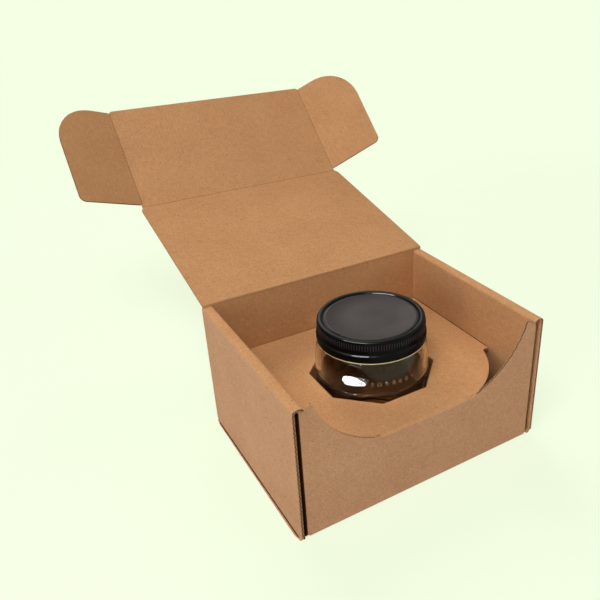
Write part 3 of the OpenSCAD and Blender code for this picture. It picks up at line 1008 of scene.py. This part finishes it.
def beadRowTree():
    tree, given, sink = newTree("raisedBeads", beadRow)
    line = put(tree, "GeometryNodeMeshLine", {"Count": given["Count"]}, mode="OFFSET")
    index = tree.nodes.new("GeometryNodeInputIndex").outputs[0]
    share = calc(tree, "DIVIDE", index, calc(tree, "SUBTRACT", given["Count"], 1.0))
    turn = calc(tree, "MULTIPLY_ADD", share, given["Sweep"], given["Start"])
    turn = calc(tree, "RADIANS", turn)
    x = calc(tree, "MULTIPLY", calc(tree, "COSINE", turn), given["Radius"])
    y = calc(tree, "MULTIPLY_ADD", calc(tree, "SINE", turn), given["Radius"], box["jarY"] * mm)
    place = fromAxes(tree, X=x, Y=y, Z=given["Height"])
    line = put(tree, "GeometryNodeSetPosition", {"Geometry": line, "Position": place})
    sphere = {"Segments": 20, "Rings": 12, "Radius": given["Bead"]}
    ball = put(tree, "GeometryNodeMeshUVSphere", sphere)
    tall = fromAxes(tree, X=1.0, Y=1.0, Z=given["Tall"])
    ball = put(tree, "GeometryNodeTransform", {"Geometry": ball, "Scale": tall})
    return closeTree(tree, sink, [painted(tree, copies(tree, line, ball), plainGlass)])


beads = grownPiece("raisedBeads", beadRowTree(), beadRow)
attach(beads, "tray")

thread = {
    "Turns": 1.25,
    "Radius": 34.85 * mm,
    "Low": 83.6 * mm,
    "Pitch": 5.08 * mm,
    "Bead": 0.8 * mm,
    "Fade": 60.0,
}


def threadTree():
    tree, given, sink = newTree("neckThread", thread)
    height = calc(tree, "MULTIPLY", given["Turns"], given["Pitch"])
    coil = {"Resolution": 120, "Rotations": given["Turns"], "Height": height}
    coil.update({"Start Radius": given["Radius"], "End Radius": given["Radius"]})
    spiral = put(tree, "GeometryNodeCurveSpiral", coil)
    spiral = moved(tree, spiral, fromAxes(tree, Y=box["jarY"] * mm, Z=given["Low"]))
    # The thread runs out at both ends
    along = tree.nodes.new("GeometryNodeSplineParameter").outputs["Factor"]
    ends = calc(tree, "MULTIPLY", along, calc(tree, "SUBTRACT", 1.0, along))
    ends = calc(tree, "MINIMUM", calc(tree, "MULTIPLY", ends, given["Fade"]), 1.0)
    size = {"Curve": spiral, "Radius": calc(tree, "MAXIMUM", ends, 0.2)}
    spiral = put(tree, "GeometryNodeSetCurveRadius", size)
    ring = {"Resolution": 12, "Radius": given["Bead"]}
    section = put(tree, "GeometryNodeCurvePrimitiveCircle", ring, mode="RADIUS")
    tube = {"Curve": spiral, "Profile Curve": section, "Fill Caps": True}
    tube = put(tree, "GeometryNodeCurveToMesh", tube)
    return closeTree(tree, sink, [painted(tree, tube, plainGlass)])


neckThread = grownPiece("neckThread", threadTree(), thread)
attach(neckThread, "tray")
print("Jar made")

# Screw lid
screwLid = {
    "radius": 36.8,
    "top": 96.0,
    "low": 80.3,
    "metal": 0.5,
    "panelMiddle": 16.0,
    "sheenRings": 5,
    "rimRise": 0.8,
    "rimInner": 33.4,
    "rimRound": 1.4,
    "rimEase": (0.3, 0.15),
    "beadOut": 1.0,
    "beadHeight": 5.7,
    "beadStart": 3.0,
    # Steps out and up of the bead's slope, which catches the highlight
    "bead": (
        (0.0, 1.1),
        (0.03, 0.75),
        (0.15, 0.45),
        (0.3, 0.28),
        (0.7, -0.18),
        (0.85, -0.35),
        (0.97, -0.6),
        (1.0, -1.0),
    ),
    "curl": 0.8,
    "curlTurn": -250,
    "grooveOuter": 32.9,
    "grooveInner": 32.0,
    "grooveDeep": 0.35,
    "grooveEase": (0.25, 0.15),
    "lineRadius": 30.6,
    "lineWidth": 0.5,
    "lineRise": 0.16,
    "bareCurl": 0.47,
    "barePlace": (-0.4, 0.46),
    "segments": 192,
    "bareSegments": 160,
}


def enamelMaterial(name, colour, roughness, specular, coat):
    material, tree, shader, coords = newMaterial(name)
    haze = noise(tree, coords, 90.0, 4.0, 0.6)
    peel = noise(tree, coords, 1300.0, 2.0)
    dust = noise(tree, coords, 2400.0, 1.0)
    light = tuple(min(1.0, c * 1.8 + 0.006) for c in colour)
    rough = ramp(tree, haze, [(0.3, (roughness - 0.04,) * 3), (0.7, (roughness + 0.05,) * 3)])
    specks = ramp(tree, dust, [(0.72, colour), (0.8, light)])
    bumped(tree, shader, peel, 0.12, 0.04 * mm)
    gloss = {"Specular IOR Level": specular, "Coat Weight": coat, "Coat Roughness": 0.05}
    feed(tree, shader, {"Base Color": specks, "Roughness": rough, **gloss})
    return material


def lacquerMaterial(name, colour, roughness):
    material, tree, shader, coords = newMaterial(name)
    haze = noise(tree, coords, 140.0, 3.0)
    shades = [(0.3, tuple(c * 0.86 for c in colour)), (0.7, colour)]
    shine = {"Metallic": 0.55, "Roughness": roughness}
    feed(tree, shader, {"Base Color": ramp(tree, haze, shades), **shine})
    return material


# Colour, roughness, specular level and coat. The sealing ring's are as for paper
lidFinish = {
    "enamel": ((0.003, 0.0028, 0.0028), 0.35, 0.015, 0.08),
    # The panel's colour is lighter than the enamel's, painted sheen; its higher roughness gives a
    # satin finish
    "panel": ((0.026, 0.017, 0.019), 0.5, 0.1, 0.0),
    "lacquer": ((0.84, 0.72, 0.38), 0.3),
    "sealing": ((0.42, 0.38, 0.3), 0.9, 1.1, 0.55),
}
blackEnamel = enamelMaterial("blackEnamel", *lidFinish["enamel"])
paintedSheenEnamel = enamelMaterial("paintedSheenEnamel", *lidFinish["panel"])
goldLacquer = lacquerMaterial("goldLacquer", *lidFinish["lacquer"])


def makeScrewLid(sizes):
    radius, top, low = sizes["radius"], sizes["top"], sizes["low"]
    panel = top - sizes["rimRise"]
    beadR, beadZ = radius + sizes["beadOut"], low + sizes["beadHeight"]
    line, width = sizes["lineRadius"], sizes["lineWidth"] / 2
    grooveIn, grooveOut = sizes["grooveInner"], sizes["grooveOuter"]
    easeIn, easeOut = sizes["grooveEase"]
    rimEase, rimDrop = sizes["rimEase"]
    rimR, curl = sizes["rimRound"], sizes["curl"]

    def path(inset):
        flat = panel - inset
        points = [(0.0, flat), (sizes["panelMiddle"], flat), (line - width, flat)]
        points += [(line, flat + sizes["lineRise"]), (line + width, flat)]
        points += [
            (grooveIn - easeIn, flat),
            (grooveIn, flat - sizes["grooveDeep"]),
            (grooveOut - easeOut, flat - sizes["grooveDeep"]),
            (sizes["rimInner"], top - rimDrop - inset),
            (sizes["rimInner"] + rimEase, top - inset),
        ]
        points += arcPoints((radius - rimR, top - rimR), rimR - inset, 90, 0, 10)
        points += [(radius - inset, beadZ + sizes["beadStart"])]
        points += [(radius - inset + out, beadZ + rise) for out, rise in sizes["bead"]]
        points += arcPoints((beadR - curl, low + curl), curl - inset, 0, sizes["curlTurn"], 16)
        return points

    outside, inside = path(0.0), path(sizes["metal"])
    split = len(outside)
    finishes = [blackEnamel, goldLacquer, paintedSheenEnamel]

    def finishAt(index):
        # The inside is gold, the panel up to its groove satin with painted sheen, and the rest
        # enamel
        return 1 if index >= split else 2 if index < sizes["sheenRings"] else 0

    shell, around = outside + inside[::-1], sizes["segments"]
    made = turned("screwLid", shell, box["jarY"], around, finishes, finishAt)
    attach(made, "jar_lid")
    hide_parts("jar_lid")
    across, up = sizes["barePlace"]
    ring = arcPoints((beadR + across, low + up), sizes["bareCurl"], 180, -180, 16)[:-1]
    bare = turned("bareCurl", ring, box["jarY"], sizes["bareSegments"], [goldLacquer])
    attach(bare, "jar_lid")


makeScrewLid(screwLid)

knurls = {
    "Count": 132,
    "Radius": 36.72 * mm,
    "Middle": 91.6 * mm,
    "Height": 4.6 * mm,
    "Width": 0.8 * mm,
    "Proud": 0.5 * mm,
}


def knurlTree():
    tree, given, sink = newTree("knurlRing", knurls)
    circle = {"Vertices": given["Count"], "Radius": given["Radius"]}
    ring = put(tree, "GeometryNodeMeshCircle", circle)
    ball = put(tree, "GeometryNodeMeshUVSphere", {"Segments": 10, "Rings": 8, "Radius": 0.5})
    deep = calc(tree, "MULTIPLY", given["Proud"], 2.0)
    size = fromAxes(tree, X=deep, Y=given["Width"], Z=given["Height"])
    rib = put(tree, "GeometryNodeTransform", {"Geometry": ball, "Scale": size})
    index = tree.nodes.new("GeometryNodeInputIndex").outputs[0]
    turn = calc(tree, "MULTIPLY", calc(tree, "DIVIDE", index, given["Count"]), 2 * math.pi)
    ribs = copies(tree, ring, rib, Rotation=fromAxes(tree, Z=turn))
    ribs = moved(tree, ribs, fromAxes(tree, Y=box["jarY"] * mm, Z=given["Middle"]))
    # The ribs take the lighter enamel: painted highlight on their tops
    return closeTree(tree, sink, [painted(tree, ribs, paintedSheenEnamel)])


grip = grownPiece("knurls", knurlTree(), knurls)
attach(grip, "jar_lid")

sealing = paperMaterial("sealingCompound", *lidFinish["sealing"])
cadNodes["lid_liner"].data.materials.clear()
cadNodes["lid_liner"].data.materials.append(sealing)
print("Screw lid made")

# Floor, backdrop and light
studio = {
    "backdrop": (0.905, 1.0, 0.776),
    "bounce": (0.8, 0.8, 0.78),
    "floorRadius": 2.4,
    "fadeStart": 0.45,
    "fadeEnd": 0.95,
    "shadowShare": 0.25,
    "sky": 0.08,
    "lampAim": (0.0, 0.02, 0.08),
}


def backdropRays(tree):
    # 1 for what sees the backdrop: the camera, and glass and enamel that show it
    ray = tree.nodes.new("ShaderNodeLightPath").outputs
    seen = calc(tree, "MAXIMUM", ray["Is Camera Ray"], ray["Is Glossy Ray"])
    return calc(tree, "MAXIMUM", seen, ray["Is Transmission Ray"])


def mixedShader(tree, factor, first, second):
    return put(tree, "ShaderNodeMixShader", {0: factor, 1: first, 2: second})


def makeStage(sizes):
    material = bpy.data.materials.new("paleFloor")
    material.use_nodes = True
    tree = material.node_tree
    tree.nodes.clear()
    colour = (*sizes["backdrop"], 1.0)
    matt = put(tree, "ShaderNodeBsdfDiffuse", {"Color": (*sizes["bounce"], 1.0)})
    shaded = put(tree, "ShaderNodeBsdfDiffuse", {"Color": colour})
    glow = put(tree, "ShaderNodeEmission", {"Color": colour, "Strength": 1.0})
    shown = mixedShader(tree, sizes["shadowShare"], glow, shaded)
    coords = tree.nodes.new("ShaderNodeTexCoord").outputs["Object"]
    away = addNode(tree, "ShaderNodeVectorMath", {0: coords}, operation="LENGTH").outputs["Value"]
    fade = softStep(tree, away, sizes["fadeStart"], sizes["fadeEnd"])
    shown = mixedShader(tree, fade, shown, put(tree, "ShaderNodeBsdfTransparent"))
    both = mixedShader(tree, backdropRays(tree), matt, shown)
    addNode(tree, "ShaderNodeOutputMaterial", {"Surface": both})
    work = bmesh.new()
    bmesh.ops.create_circle(work, cap_ends=True, segments=96, radius=sizes["floorRadius"])
    mesh = bpy.data.meshes.new("floor")
    work.to_mesh(mesh)
    work.free()
    floor = linkObject("floor", mesh, [material])
    world = bpy.data.worlds.new("studioSky")
    bpy.context.scene.world = world
    world.use_nodes = True
    tree = world.node_tree
    tree.nodes.clear()
    white = {"Color": (1.0, 1.0, 1.0, 1.0), "Strength": sizes["sky"]}
    soft = put(tree, "ShaderNodeBackground", white)
    pale = put(tree, "ShaderNodeBackground", {"Color": colour, "Strength": 1.0})
    both = mixedShader(tree, backdropRays(tree), soft, pale)
    addNode(tree, "ShaderNodeOutputWorld", {"Surface": both})


makeStage(studio)

lamps = {
    "keySoftbox": {
        "place": (-0.7, -0.64, 1.75),
        "size": (1.2, 0.7),
        "power": 26.0,
        "colour": (1.0, 0.985, 0.96),
    },
    "leftPanel": {
        "place": (-1.6, -0.7, 0.5),
        "size": (0.9, 0.9),
        "power": 11.0,
        "colour": (0.92, 0.985, 1.0),
    },
    "backPanel": {
        "place": (0.3, 1.5, 1.2),
        "size": (1.2, 1.2),
        "power": 21.0,
        "colour": (1.0, 0.99, 0.97),
    },
    "rightFill": {
        "place": (1.1, -1.0, 0.8),
        "size": (1.0, 1.0),
        "power": 3.4,
        "colour": (1.0, 1.0, 1.0),
    },
    # The strip only gives glass and enamel their highlights
    "glossStrip": {
        "place": (-0.93, -0.32, 1.33),
        "size": (1.2, 0.42),
        "power": 150.0,
        "colour": (1.0, 1.0, 1.0),
    },
}


def hangLamp(name, sizes):
    light = bpy.data.lights.new(name, "AREA")
    light.shape = "RECTANGLE"
    light.size, light.size_y = sizes["size"]
    light.energy = sizes["power"]
    light.color = sizes["colour"]
    lamp = linkObject(name, light)
    lamp.visible_diffuse = name != "glossStrip"
    lamp.location = sizes["place"]
    aim = Vector(studio["lampAim"]) - lamp.location
    lamp.rotation_euler = aim.to_track_quat("-Z", "Y").to_euler()


for name, sizes in lamps.items():
    hangLamp(name, sizes)
print("Studio lit")
